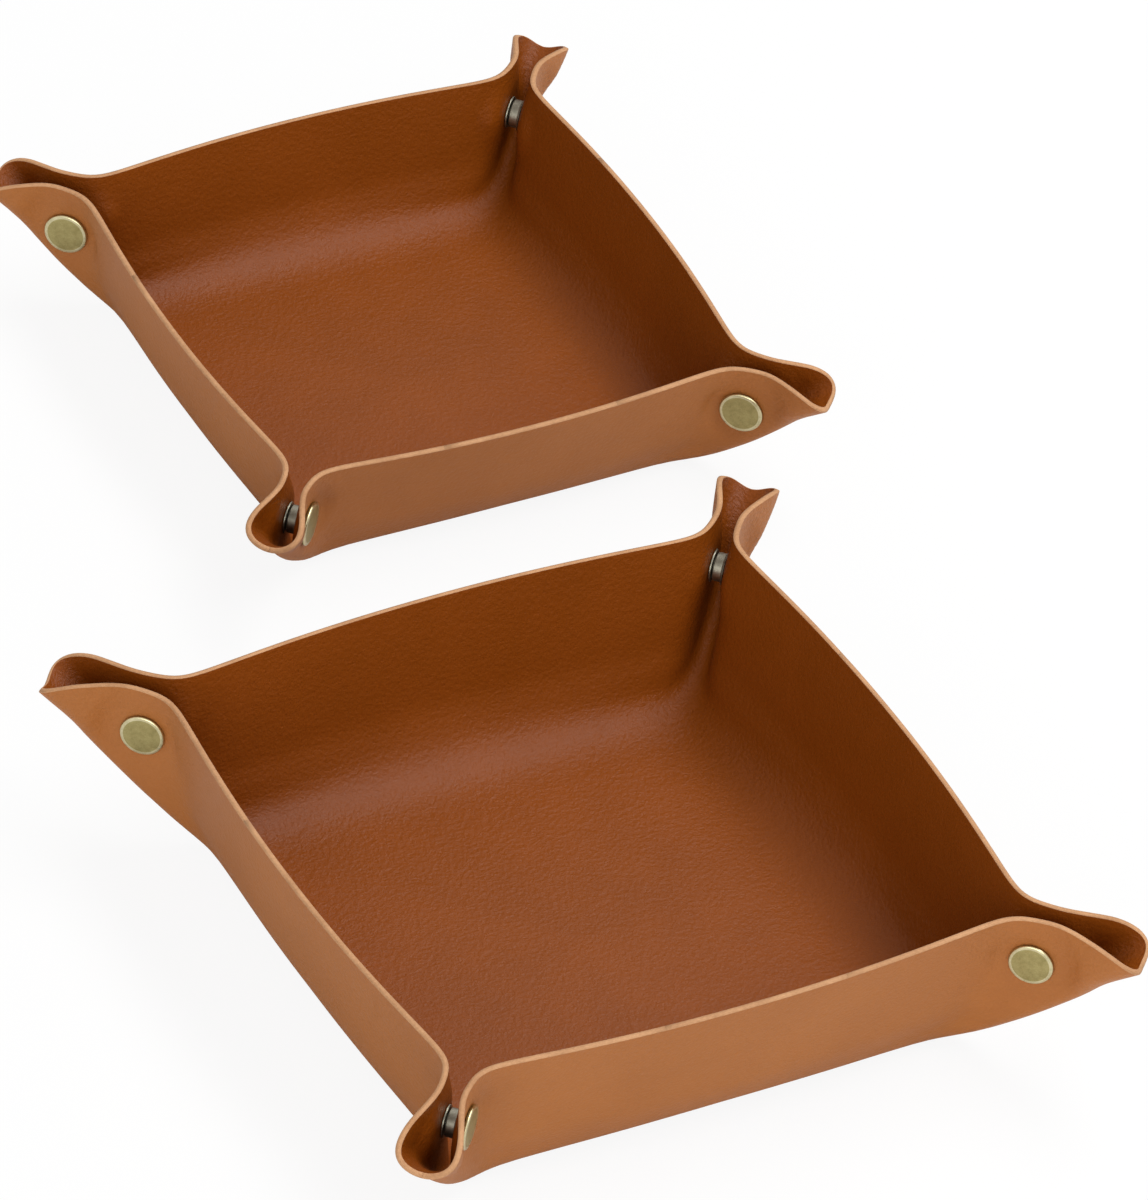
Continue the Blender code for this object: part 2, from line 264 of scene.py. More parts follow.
@dataclass(frozen=True)
class MetalFinish:
    """A plated metal with a worn, slightly patchy surface."""

    name: str
    dark: Colour
    light: Colour
    roughness: float
    patina_size: float = 0.0022
    patina_share: float = 0.7
    patina_roughness: float = 0.2
    scratch_size: float = 0.0004
    scratch_share: float = 0.3
    relief_height: float = 0.00001
    relief_strength: float = 0.4

    def make(self) -> bpy.types.Material:
        """Builds the material.

        Returns:
            Metal with patches of patina and fine scratches.
        """
        material, nodes, shader = new_material(self.name)
        place = nodes.own_place()
        patina = nodes.noise(place, self.patina_size, 4.0, 0.6)
        scratches = nodes.noise(place, self.scratch_size, 2.0)
        share = patina * self.patina_share + scratches * self.scratch_share
        connect(nodes.blend_colour(share, self.dark, self.light), shader, "Base Color")
        worn = (patina - NOISE_MIDDLE) * self.patina_roughness
        connect(self.roughness + worn, shader, "Roughness")
        connect(nodes.bump(scratches, self.relief_height, self.relief_strength), shader, "Normal")
        shader.inputs["Metallic"].default_value = 1.0
        return material


class Finish(Enum):
    """Every finish on the trays."""

    INSIDE = LeatherFinish("leather_inside", (0.205, 0.047, 0.0026), (0.247, 0.058, 0.0046), 0.37, 0.17)
    OUTSIDE = LeatherFinish("leather_outside", (0.350, 0.119, 0.025), (0.400, 0.142, 0.033), 0.52, 0.26)
    CUT = CutEdgeFinish("leather_cut_edge", (0.42, 0.205, 0.090), (0.58, 0.31, 0.150))
    BRASS = MetalFinish("worn_brass", (0.275, 0.230, 0.090), (0.410, 0.352, 0.154), 0.42)
    # Paler brass for the caps' rounded edges: partly rubbed wear, partly a painted highlight.
    RUBBED_HIGHLIT_BRASS = MetalFinish("worn_brass_rubbed", (0.48, 0.43, 0.24), (0.66, 0.60, 0.38), 0.30)
    NICKEL = MetalFinish("worn_nickel", (0.22, 0.21, 0.16), (0.36, 0.34, 0.27), 0.42)

    @cache
    def material(self) -> bpy.types.Material:
        """The finish's material, made on first use."""
        return self.value.make()


# Meshes


def new_piece(
    name: str,
    points: Array,
    faces: Sequence[Cell],
    finishes: Sequence[Finish],
    slots: Sequence[int],
    own_places: Array,
) -> Piece:
    """Makes one smooth-shaded piece.

    Args:
        name: The piece's name.
        points: Its points in the frame, in metres.
        faces: Its faces, as point numbers.
        finishes: The finishes of its material slots.
        slots: Each face's slot.
        own_places: Each point's coordinates for the materials.

    Returns:
        The new object.
    """
    mesh = bpy.data.meshes.new(name)
    mesh.from_pydata(points.tolist(), [], faces)
    for finish in finishes:
        mesh.materials.append(finish.material())
    mesh.polygons.foreach_set("material_index", np.asarray(slots, dtype=np.int32))
    mesh.shade_smooth()
    attribute = mesh.attributes.new(OWN_PLACE, "FLOAT_VECTOR", "POINT")
    attribute.data.foreach_set("vector", np.asarray(own_places, dtype=np.float32).ravel())
    mesh.update()
    piece = bpy.data.objects.new(name, mesh)
    bpy.context.collection.objects.link(piece)
    return piece


def smooth_step(share: Array) -> Array:
    """Rises smoothly from 0 to 1 as share does."""
    share = np.clip(share, 0.0, 1.0)
    return share * share * (3.0 - 2.0 * share)


def arc(centre: tuple[float, float], radius: float, start: float, stop: float, steps: int) -> Outline:
    """Points along a circle in a turned outline, from start to stop in degrees from straight out to up."""
    turns = [math.radians(start + (stop - start) * index / steps) for index in range(steps + 1)]
    return [(centre[0] + radius * math.cos(turn), centre[1] + radius * math.sin(turn)) for turn in turns]


# The leather


class Corner(Enum):
    """A tray's corners: the signs of their X and Y, and the wall whose layer carries the cap."""

    front = (-1, -1, "y")
    right = (1, -1, "y")
    back = (1, 1, "x")
    left = (-1, 1, "x")

    @property
    def signs(self) -> tuple[int, int]:
        """Signs of the corner's X and Y."""
        return self.value[0], self.value[1]

    @property
    def cap_on_x(self) -> bool:
        """Whether the cap is on the layer of the wall that crosses X."""
        return self.value[2] == "x"

    @property
    def outward(self) -> Vector:
        """Unit vector out along the corner's diagonal."""
        return Vector((*self.signs, 0.0)).normalized()

    @property
    def through_cap(self) -> Vector:
        """Unit vector across the ear and out through its cap."""
        side = 1.0 if self.cap_on_x else -1.0
        return Vector((side * self.signs[0], -side * self.signs[1], 0.0)).normalized()

    @property
    def along_wall(self) -> Vector:
        """Unit vector along the cap's wall, towards the corner."""
        return Vector((0.0, self.signs[1], 0.0)) if self.cap_on_x else Vector((self.signs[0], 0.0, 0.0))


@dataclass(frozen=True)
class FoldedSheet:
    """The middle surface of one square sheet, folded into a tray.

    A point of the flat sheet is given by u, its distance from the centre towards the wall, and v, its
    distance along that wall from the wall's middle, with v no more than u. The ring of all points with
    the same u lies almost level in the tray.
    """

    sheet: float
    corner_radius: float
    wall: float
    bend_radius: float
    bow: float
    stud_from_side: float
    ear_half_width: float
    droop: float
    foot_reach: float
    thickness: float = 0.0016
    layer_space: float = 0.0044
    stud_from_rim: float = 0.0148
    pinch_rounding: float = 0.0036
    pressed_radius: float = 0.0062
    pressed_fade: float = 0.0092
    wall_slope: float = math.radians(79.0)
    bend_ease: float = 1.28
    bend_fade: float = 0.39
    ear_opening: float = 0.61
    ear_reach: float = 0.0046
    foot_share: float = 0.62
    crease_samples: int = 7
    ring_steps: int = 40
    floor_spacing: float = 0.0055
    wall_spacing: float = 0.0014
    ear_spacing: float = 0.0011

    @property
    def half(self) -> float:
        """Half the flat sheet's side."""
        return self.sheet / 2.0

    @property
    def floor(self) -> float:
        """Half the side of the tray's flat floor."""
        return self.half - self.wall

    @property
    def pinch(self) -> float:
        """Distance of a pinched layer's middle from the corner's diagonal plane."""
        return (self.layer_space + self.thickness) / 2.0

    @property
    def stud_u(self) -> float:
        """Flat distance of the press studs from the centre, towards the wall."""
        return self.half - self.stud_from_rim

    @property
    def stud_v(self) -> float:
        """Flat distance of the press studs from the wall's middle."""
        return self.half - self.stud_from_side

    @property
    def as_modelled(self) -> FoldedSheet:
        """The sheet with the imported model's crisper pinch and bend, which place its press studs."""
        return replace(self, pinch_rounding=0.0022, pressed_radius=0.0100, pressed_fade=0.0060, bend_ease=1.0)

    def profile(self, u: Array) -> tuple[Array, Array]:
        """Runs a wall's middle out over the floor, round its bend and up.

        Leather eases into its bends, so the bend is wider than the model's and ends on the same wall.

        Args:
            u: Flat distances from the centre.

        Returns:
            The distances out from the centre, and the heights.
        """
        radius = self.bend_radius * self.bend_ease
        widening = (radius - self.bend_radius) * math.tan(self.wall_slope / 2.0)
        end = self.floor + self.bend_radius * self.wall_slope + widening
        start = end - radius * self.wall_slope
        past = np.maximum(u - start, 0.0)
        angle = np.minimum(past / radius, self.wall_slope)
        straight = past - angle * radius
        bent = self.floor - widening + radius * np.sin(angle) + straight * math.cos(self.wall_slope)
        up = radius * (1.0 - np.cos(angle)) + straight * math.sin(self.wall_slope)
        return np.where(u > start, bent, u * (self.floor - widening) / start), up

    def from_diagonal(self, u: Array, v: Array) -> Array:
        """Says how far a ring's points lie from the corner's diagonal plane.

        Args:
            u: Flat distances from the centre.
            v: Flat distances from the wall's middle.

        Returns:
            The distances: a bowed wall, pinched at the stud, opened in the ear and closed by its nose.
        """
        flat = (u - v) / ROOT_TWO
        raised = smooth_step((u - self.floor) / (self.bend_fade * self.wall))
        bow = raised * self.bow * (v / self.floor) ** 2
        wall = (self.profile(u)[0] - v) / ROOT_TWO - bow - self.pinch
        beside = self.pinch + (wall + np.hypot(wall, self.pinch_rounding)) / 2.0
        opening = (v - self.stud_v) / (self.ear_opening * self.stud_from_side)
        beside = beside + (self.ear_half_width - self.pinch) * smooth_step(opening)
        from_stud = np.hypot(u - self.stud_u, v - self.stud_v)
        pressed = 1.0 - smooth_step((from_stud - self.pressed_radius) / self.pressed_fade)
        beside = beside + pressed * (self.pinch - beside)
        nose = np.sin(np.minimum((u - v) / beside, math.pi / 2.0))
        return flat + raised * (beside * nose - flat)

    def ring_point(self, u: Array, v: Array) -> Array:
        """Finds places by stepping along the rings at the rings' own length.

        Args:
            u: Flat distances from the centre.
            v: Flat distances from the wall's middle.

        Returns:
            The places in the tray, along a last axis of three.
        """
        across = self.from_diagonal(u, np.zeros_like(v))
        along = across.copy()
        step = v / self.ring_steps
        for index in range(self.ring_steps):
            after = self.from_diagonal(u, (index + 1) * step)
            along += np.sqrt(np.maximum(step * step - (after - across) ** 2, 0.0))
            across = after
        up = self.profile(u)[1]
        up = up - self.droop * smooth_step((v - self.stud_v) / self.stud_from_side) * up / self.wall
        places = (along + across) / ROOT_TWO, (along - across) / ROOT_TWO, up + self.thickness / 2.0
        return np.stack(places, axis=-1)

    def crisp_place(self, x: Array, y: Array) -> Array:
        """Places flat points in any quarter and on any wall.

        Args:
            x: Flat distances along X.
            y: Flat distances along Y.

        Returns:
            The places in the tray, with sharp creases.
        """
        found = self.ring_point(np.maximum(abs(x), abs(y)), np.minimum(abs(x), abs(y)))
        swapped = np.where((abs(y) > abs(x))[..., None], found[..., [1, 0, 2]], found)
        return swapped * np.stack((np.sign(x), np.sign(y), np.ones_like(x)), axis=-1)

    def place(self, x: Array, y: Array) -> Array:
        """Places flat points, with each corner's crease rounded as leather rounds it.

        Args:
            x: Flat distances along X.
            y: Flat distances along Y.

        Returns:
            The mean place of each point's neighbours across the crease.
        """
        climbed = (np.maximum(abs(x), abs(y)) - self.floor) / (self.foot_share * self.wall)
        reach = self.foot_reach + (self.ear_reach - self.foot_reach) * smooth_step(climbed)
        side = np.where(x * y >= 0.0, 1.0, -1.0)
        total, weights = 0.0, 0.0
        for index in range(-self.crease_samples, self.crease_samples + 1):
            share = index / (self.crease_samples + 1)
            weight = 1.0 + math.cos(math.pi * share)
            step = reach * share / ROOT_TWO
            total = total + weight * self.crisp_place(x + step, y - side * step)
            weights += weight
        return total / weights

    def round_corner(self, x: Array, y: Array) -> tuple[Array, Array]:
        """Draws flat points in the sheet's square corners in to the corners' radius.

        Args:
            x: Flat distances along X.
            y: Flat distances along Y.

        Returns:
            The drawn distances along X and Y.
        """
        inner = self.half - self.corner_radius
        right, up = np.maximum(abs(x) - inner, 0.0), np.maximum(abs(y) - inner, 0.0)
        drawn = np.maximum(right, up) / np.maximum(np.hypot(right, up), LEAST_REACH)
        scale = np.where((right > 0) & (up > 0), drawn, 1.0)
        new_x = np.where(right > 0, np.sign(x) * (inner + right * scale), x)
        new_y = np.where(up > 0, np.sign(y) * (inner + up * scale), y)
        return new_x, new_y

    def lines(self) -> Array:
        """Spaces the lines that divide the sheet, close where it bends most.

        Returns:
            Their distances from the centre, from side to side.
        """
        stretches = (
            (0.0, self.floor, self.floor_spacing),
            (self.floor, self.stud_v, self.wall_spacing),
            (self.stud_v, self.half, self.ear_spacing),
        )
        found = [0.0]
        for start, stop, spacing in stretches:
            count = max(2, round((stop - start) / spacing))
            found += [start + (stop - start) * (index + 1) / count for index in range(count)]
        return np.array([-line for line in found[:0:-1]] + found)

    def stud_frame(self, corner: Corner) -> Matrix:
        """Places a press stud.

        Args:
            corner: The stud's corner.

        Returns:
            Its frame, with its Z out through the cap and its origin between the layers.
        """
        found = self.as_modelled.ring_point(np.array(self.stud_u), np.array(self.stud_v))
        reach = (found[0] + found[1]) / ROOT_TWO
        up = Vector((0.0, 0.0, 1.0))
        axes = Matrix((up.cross(corner.through_cap), up, corner.through_cap)).transposed().to_4x4()
        return Matrix.Translation(corner.outward * reach + up * found[2]) @ axes


@dataclass
class LeatherSheet:
    """One tray's leather, as the piece that stays and one piece for each cap's ear layer.

    It is one sheet. The ear layers with the caps are pieces of their own, cut off along the ears' creases.
    """

    tray: str
    sheet: FoldedSheet
    placed: Matrix
    lean: float = 0.75
    foot_in_bend: float = 0.56
    probe_share: float = 0.125
    edge_bulge: float = 0.00025
    edge_roll: float = 1.2
    edge_rows: tuple[tuple[float, float], ...] = (
        (0.90, 0.55), (0.62, 0.88), (0.22, 1.0), (-0.22, 1.0), (-0.62, 0.88), (-0.90, 0.55),
    )
    finishes: tuple[Finish, ...] = (Finish.INSIDE, Finish.OUTSIDE, Finish.CUT)

    def __post_init__(self) -> None:
        """Works out the flat grid, its folded points and their normals."""
        self.lines = self.sheet.lines()
        self.count = len(self.lines)
        flat_x, flat_y = self.sheet.round_corner(*np.meshgrid(self.lines, self.lines, indexing="ij"))
        probe = self.sheet.thickness * self.probe_share
        place = self.sheet.place
        along_x = place(flat_x + probe, flat_y) - place(flat_x - probe, flat_y)
        along_y = place(flat_x, flat_y + probe) - place(flat_x, flat_y - probe)
        normals = np.cross(along_x, along_y)
        normals /= np.linalg.norm(normals, axis=-1, keepdims=True)
        turn = np.array(self.placed.to_3x3())
        self.points = place(flat_x, flat_y).reshape(-1, 3) @ turn.T + np.array(self.placed.translation)
        self.normals = normals.reshape(-1, 3) @ turn.T
        self.flat = np.stack((flat_x, flat_y, np.zeros_like(flat_x)), axis=-1).reshape(-1, 3)

    @property
    def base_corner(self) -> float:
        """Distance of the creases' feet from both of the tray's middle planes."""
        return self.sheet.floor + self.foot_in_bend * self.sheet.bend_radius

    def build(self) -> list[Piece]:
        """Builds the sheet's pieces and gives the piece that stays to the root body.

        Returns:
            The piece that stays, then one for each corner.
        """
        owners = {cell: self.owner(cell) for cell in self.cells()}
        pieces = []
        for corner in (None, *Corner):
            cells = [cell for cell, owner in owners.items() if owner is corner]
            name = f"{self.tray}_leather" + (f"_{corner.name}_flap" if corner else "")
            piece = self.thicken(name, cells, corner is not None)
            if corner is None:
                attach(piece, "root")
            else:
                start, end = self.bend(corner)
                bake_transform(piece)
            pieces.append(piece)
        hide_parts(f"{self.tray}_leather_sheet")
        return pieces

    def cells(self) -> Iterable[Cell]:
        """The grid's cells, counterclockwise from above, with those on a diagonal cut in two.

        Returns:
            Point numbers of each cell.
        """
        last = self.count - 2
        for i in range(last + 1):
            for j in range(last + 1):
                near, right = i * self.count + j, (i + 1) * self.count + j
                far, left = right + 1, near + 1
                if i == j:
                    yield from ((near, right, far), (near, far, left))
                elif i + j == last:
                    yield from ((near, right, left), (right, far, left))
                else:
                    yield near, right, far, left

    def owner(self, cell: Cell) -> Corner | None:
        """Finds whose cap layer a cell belongs to.

        Args:
            cell: The cell.

        Returns:
            The cap's corner, or None for the leather that stays.
        """
        rows, columns = np.divmod(np.array(cell), self.count)
        x, y = self.lines[rows].mean(), self.lines[columns].mean()
        u, v = max(abs(x), abs(y)), min(abs(x), abs(y))
        if u < self.sheet.floor or v < self.base_corner - self.lean * self.sheet.wall:
            return None
        for corner in Corner:
            if (x > 0, y > 0) == (corner.signs[0] > 0, corner.signs[1] > 0):
                return corner if (abs(x) > abs(y)) == corner.cap_on_x else None
        return None

    def bend(self, corner: Corner) -> tuple[Vector, Vector]:
        """Two points along a cap's wall, from the crease's foot up towards the press stud.

        Args:
            corner: The cap's corner.

        Returns:
            A point at the crease's foot, and a point short of the press stud, along and up the wall.
        """
        stud = self.sheet.stud_frame(corner).translation
        foot = Vector((*(sign * self.base_corner for sign in corner.signs), self.sheet.thickness))
        across = Vector((*corner.along_wall.xy, self.lean)).normalized()
        reach = across.dot(stud - foot) - self.sheet.pressed_radius
        return self.placed @ foot, self.placed @ (foot + across * reach)

    def thicken(self, name: str, cells: Sequence[Cell], swings: bool) -> Piece:
        """Makes a closed piece of leather from cells of the grid.

        Args:
            name: The piece's name.
            cells: The cells.
            swings: Whether its seam is rounded into its neighbour.

        Returns:
            The piece, with its inside face, outside face and rounded cut edge.
        """
        inside, outside, cut_edge = range(len(self.finishes))
        used = np.unique(np.concatenate(cells))
        number = {int(point): index for index, point in enumerate(used)}
        below = len(used)
        rise = self.normals[used] * (self.sheet.thickness / 2.0)
        under = np.array((0.0, 0.0, -self.sheet.thickness))
        points = [*(self.points[used] + rise), *(self.points[used] - rise)]
        normals = [*self.normals[used], *-self.normals[used]]
        flat = [*self.flat[used], *(self.flat[used] + under)]
        faces: list[Cell] = []
        slots: list[int] = []
        for cell in cells:
            top = tuple(number[point] for point in cell)
            faces += [top, tuple(below + point for point in reversed(top))]
            slots += [inside, outside]
        rims = self.rim_edges(cells)
        rows: dict[int, list[int]] = {}
        for point, direction in self.outward(rims).items():
            if swings or self.on_rim(point):
                rows[point] = [len(points) + row for row in range(len(self.edge_rows))]
                for place, facing, own in self.round_edge(point, direction):
                    points.append(place)
                    normals.append(facing)
                    flat.append(own)
        for start, stop in rims:
            cut = self.on_rim(start) and self.on_rim(stop)
            first, second = (
                [number[point], *(rows[point] if cut or swings else ()), below + number[point]]
                for point in (start, stop)
            )
            last = len(first) - 1
            for index in range(last):
                faces.append((first[index + 1], second[index + 1], second[index], first[index]))
                slots.append(cut_edge if cut else (outside if 2 * index >= last else inside))
        piece = new_piece(name, np.array(points), faces, self.finishes, slots, np.array(flat))
        piece.data.normals_split_custom_set_from_vertices(np.array(normals).tolist())
        return piece

    def outward(self, rims: Sequence[tuple[int, int]]) -> dict[int, Array]:
        """Finds which way is out of a piece along its edges.

        Args:
            rims: The edges.

        Returns:
            For each point on them, a direction out of the piece and along the leather.
        """
        found: dict[int, Array] = {}
        for start, stop in rims:
            direction = np.cross(self.points[stop] - self.points[start], self.normals[start])
            direction /= max(np.linalg.norm(direction), LEAST_LENGTH)
            for point in (start, stop):
                found[point] = found.get(point, 0.0) + direction
        return found

    def round_edge(self, point: int, direction: Array) -> Iterable[tuple[Array, ...]]:
        """Rounds the leather's edge at one point: slightly where it is cut, to a half circle at a seam.

        Args:
            point: The grid point.
            direction: The way out of the piece.

        Returns:
            Place, normal and flat place of each point from the inside face to the outside face.
        """
        direction = direction / np.linalg.norm(direction)
        half = self.sheet.thickness / 2.0
        for height, bulge in self.edge_rows:
            reach = self.edge_bulge * bulge if self.on_rim(point) else half * math.sqrt(1.0 - height * height)
            place = self.points[point] + self.normals[point] * half * height + direction * reach
            facing = direction + self.normals[point] * height * self.edge_roll
            own = self.flat[point] + np.array((0.0, 0.0, (height - 1.0) * half))
            yield place, facing / np.linalg.norm(facing), own

    def on_rim(self, point: int) -> bool:
        """Whether a grid point is on the sheet's own edge."""
        row, column = divmod(point, self.count)
        return row in (0, self.count - 1) or column in (0, self.count - 1)

    @staticmethod
    def rim_edges(cells: Sequence[Cell]) -> list[tuple[int, int]]:
        """Finds the edges that only one of the cells has.

        Args:
            cells: The cells.

        Returns:
            The edges, each in its own cell's direction.
        """
        edges = {}
        for cell in cells:
            for start, stop in zip(cell, cell[1:] + cell[:1]):
                if (stop, start) in edges:
                    del edges[(stop, start)]
                else:
                    edges[(start, stop)] = True
        return list(edges)


# The press studs


@dataclass
class PressStud:
    """One corner's press stud: cap, socket and ring spring on one layer, stud and post on the other."""

    tray: str
    corner: Corner
    placed: Matrix
    layer_space: float = 0.0044
    leather: float = 0.0016
    gap: float = 0.0003
    barrel: float = 0.0011
    barrel_wall: float = 0.00035
    flare: float = 0.0005
    flare_thick: float = 0.00035
    cap_radius: float = 0.00625
    cap_thick: float = 0.0010
    cap_bevel: float = 0.0005
    cap_bevel_steps: int = 5
    cap_crown: float = 0.0002
    cap_face_shares: tuple[float, ...] = (0.0, 0.3, 0.55, 0.75, 0.84)
    socket_radius: float = 0.0050
    socket_plate: float = 0.0004
    socket_depth: float = 0.0031
    socket_lip: float = 0.0003
    socket_wall: float = 0.00045
    spring_radius: float = 0.0029
    spring_wire: float = 0.0007
    spring_opening: float = math.radians(48.0)
    wire_sides: int = 12
    stud_radius: float = 0.0046
    stud_plate: float = 0.0004
    neck: float = 0.0022
    bulge: float = 0.0003
    stud_height: float = 0.0024
    post_radius: float = 0.0040
    post_thick: float = 0.0006
    steps: int = 64
    sharp_angle: float = math.radians(40.0)

    def build(self) -> list[Piece]:
        """Builds the five pieces and gives them to their bodies.

        Returns:
            The pieces.
        """
        flap = f"{self.tray}_{self.corner.name}_flap"
        return [
            # The cap's rounded edge takes the paler brass, a painted highlight as well as rubbed wear.
            self.turn("cap", self.cap_outline(), (Finish.BRASS, Finish.RUBBED_HIGHLIT_BRASS), self.cap_slots(), flap),
            self.turn("socket", self.socket_outline(), (Finish.NICKEL,), None, flap),
            self.spring(flap),
            self.turn("stud", self.stud_outline(), (Finish.NICKEL,), None, "root"),
            self.turn("post", self.post_outline(), (Finish.BRASS,), None, "root"),
        ]

    @property
    def bore(self) -> float:
        """Radius of the hole through a barrel."""
        return self.barrel - self.barrel_wall

    @property
    def cap_seat(self) -> float:
        """Height of the cap's underside."""
        return self.layer_space / 2.0 + self.leather + self.gap

    @property
    def socket_back(self) -> float:
        """Height of the socket's back, seated on the inside of the cap's layer."""
        return self.layer_space / 2.0 - self.gap

    def cap_outline(self) -> Outline:
        """Outlines the cap's disc over the leather, with its barrel down through leather and socket.

        Returns:
            Its points, by radius and height.
        """
        under, top = self.cap_seat, self.cap_seat + self.cap_thick
        flare = self.socket_back - self.socket_plate - self.gap
        shoulder = (self.cap_radius - self.cap_bevel, top - self.cap_bevel)
        face = [
            (self.cap_radius * share, top + self.cap_crown * (1.0 - (share / self.cap_face_shares[-1]) ** 2))
            for share in self.cap_face_shares
        ]
        return (
            [(0.0, under + self.cap_thick / 2.0)]
            + face
            + arc(shoulder, self.cap_bevel, 80.0, 0.0, self.cap_bevel_steps)
            + [
                (self.cap_radius - self.cap_bevel / 3.0, under),
                (self.barrel, under),
                (self.barrel, flare),
                (self.barrel + self.flare, flare - self.flare_thick / 2.0),
                (self.barrel + self.flare, flare - self.flare_thick),
                (self.bore, flare - self.flare_thick),
                (self.bore, under + self.cap_thick / 2.0),
            ]
        )

    def cap_slots(self) -> list[int]:
        """Slot of each stretch of the cap's outline: its rounded edge is rubbed, with a painted highlight."""
        edge = len(self.cap_face_shares)
        return [int(0 <= index - edge <= self.cap_bevel_steps) for index in range(len(self.cap_outline()))]

    def socket_outline(self) -> Outline:
        """Outlines the socket's cup, open to the stud, its mouth turned in under the ring spring.

        Returns:
            Its points, by radius and height.
        """
        top = self.socket_back
        plate, bottom = top - self.socket_plate, top - self.socket_depth
        cavity = self.spring_radius + self.spring_wire / 2.0 + self.gap
        mouth = self.neck + self.bulge + 1.5 * self.gap
        outer = cavity + self.socket_wall
        edge = self.socket_radius - self.gap
        return (
            [(self.barrel + self.gap, top), (edge, top)]
            + arc((edge, (top + plate) / 2.0), self.socket_plate / 2.0, 90.0, -90.0, 4)
            + arc((outer + self.socket_plate, plate - self.socket_plate), self.socket_plate, 90.0, 180.0, 3)
            + arc((outer - self.socket_lip, bottom + self.socket_lip), self.socket_lip, 0.0, -90.0, 4)
            + [
                (mouth, bottom),
                (mouth, bottom + self.socket_lip),
                (cavity, bottom + self.socket_lip),
                (cavity, plate),
                (self.barrel + self.gap, plate),
            ]
        )

    def stud_outline(self) -> Outline:
        """Outlines the stud: a flange on its layer of leather, and a hollow head with a bulged rim.

        Returns:
            Its points, by radius and height.
        """
        base = self.gap - self.layer_space / 2.0
        top = base + self.stud_height
        hollow = self.barrel + self.flare + self.gap
        roll, eye = self.stud_plate / 2.0, self.barrel + self.gap
        return (
            [(eye, base), (self.stud_radius, base)]
            + arc((self.stud_radius - roll, base + roll), roll, 0.0, 90.0, 3)
            + [(self.neck, base + self.stud_plate), (self.neck, top - 2.0 * self.bulge)]
            + arc((self.neck, top - self.bulge), self.bulge, -60.0, 90.0, 5)
            + [(hollow, top), (hollow, base + self.stud_plate), (eye, base + self.stud_plate)]
        )

    def post_outline(self) -> Outline:
        """Outlines the post: a domed eyelet on the leather, its barrel flared inside the stud.

        Returns:
            Its points, by radius and height.
        """
        seat = -(self.layer_space / 2.0 + self.leather + self.gap)
        flare = self.gap - self.layer_space / 2.0 + self.stud_plate + self.gap
        roll = self.post_thick / 2.0
        return (
            arc((self.bore + roll, seat - roll), roll, 180.0, 270.0, 4)
            + arc((self.post_radius - self.post_thick, seat), self.post_thick, 270.0, 360.0, 5)
            + [
                (self.barrel, seat),
                (self.barrel, flare),
                (self.barrel + self.flare, flare),
                (self.barrel + self.flare, flare + self.flare_thick),
                (self.bore, flare + self.flare_thick),
            ]
        )

    def turn(
        self, part: str, outline: Outline, finishes: Sequence[Finish], slots: list[int] | None, body: str
    ) -> Piece:
        """Turns a closed outline about the stud's axis.

        Args:
            part: The piece's own name.
            outline: Points as distance from the axis and height.
            finishes: The finishes of its slots.
            slots: Slot of the stretch from each point to the next, or None where there is one finish.
            body: The body that it rides on.

        Returns:
            The piece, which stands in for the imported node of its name.
        """
        count = len(outline)
        own, faces, face_slots = [], [], []
        for step in range(self.steps):
            turn = math.tau * step / self.steps
            own += [(radius * math.cos(turn), radius * math.sin(turn), height) for radius, height in outline]
        for step in range(self.steps):
            here, after = step * count, (step + 1) % self.steps * count
            for index in range(count):
                other = (index + 1) % count
                on_axis = outline[index][0] <= 0.0, outline[other][0] <= 0.0
                if all(on_axis):
                    continue
                corners = [here + index, here + other, after + other, after + index]
                if on_axis[0]:
                    corners = [index, here + other, after + other]
                elif on_axis[1]:
                    corners = [here + index, other, after + index]
                faces.append(tuple(corners))
                face_slots.append(slots[index] if slots else 0)
        return self.finish_piece(part, np.array(own), faces, finishes, face_slots, body)

    def spring(self, body: str) -> Piece:
        """The split ring spring: a round wire bent to most of a circle around the stud's neck.

        Args:
            body: The body that it rides on.

        Returns:
            The piece.
        """
        wire = self.spring_wire / 2.0
        height = self.socket_back - self.socket_depth + self.socket_lip + self.gap + wire
        sides = self.wire_sides
        own, faces = [], []
        for step in range(self.steps + 1):
            turn = self.spring_opening / 2.0 + (math.tau - self.spring_opening) * step / self.steps
            for side in range(sides):
                around = math.tau * side / sides
                radius, rise = self.spring_radius + wire * math.cos(around), height + wire * math.sin(around)
                own.append((radius * math.cos(turn), radius * math.sin(turn), rise))
        for step in range(self.steps):
            for side in range(sides):
                here, after = step * sides, (step + 1) * sides
                other = (side + 1) % sides
                faces.append((here + side, after + side, after + other, here + other))
        faces.append(tuple(range(sides)))
        faces.append(tuple(self.steps * sides + side for side in reversed(range(sides))))
        return self.finish_piece("spring", np.array(own), faces, (Finish.NICKEL,), [0] * len(faces), body)

    def finish_piece(
        self,
        part: str,
        own: Array,
        faces: list[Cell],
        finishes: Sequence[Finish],
        slots: list[int],
        body: str,
    ) -> Piece:
        """Puts a piece at its corner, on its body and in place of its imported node.

        Args:
            part: The piece's own name.
            own: Its points in the press stud's frame.
            faces: Its faces, as point numbers.
            finishes: The finishes of its slots.
            slots: Each face's slot.
            body: The body that it rides on.

        Returns:
            The piece.
        """
        node = f"{self.tray}_{self.corner.name}_{part}"
        turn, shift = np.array(self.placed.to_3x3()), np.array(self.placed.translation)
        used = np.unique(np.concatenate(faces))
        number = np.full(len(own), -1)
        number[used] = np.arange(len(used))
        faces = [tuple(number[list(face)].tolist()) for face in faces]
        piece = new_piece(f"{node}_looks", own[used] @ turn.T + shift, faces, finishes, slots, own[used])
        piece.data.set_sharp_from_angle(angle=self.sharp_angle)
        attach(piece, body)
        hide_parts(node)
        return piece


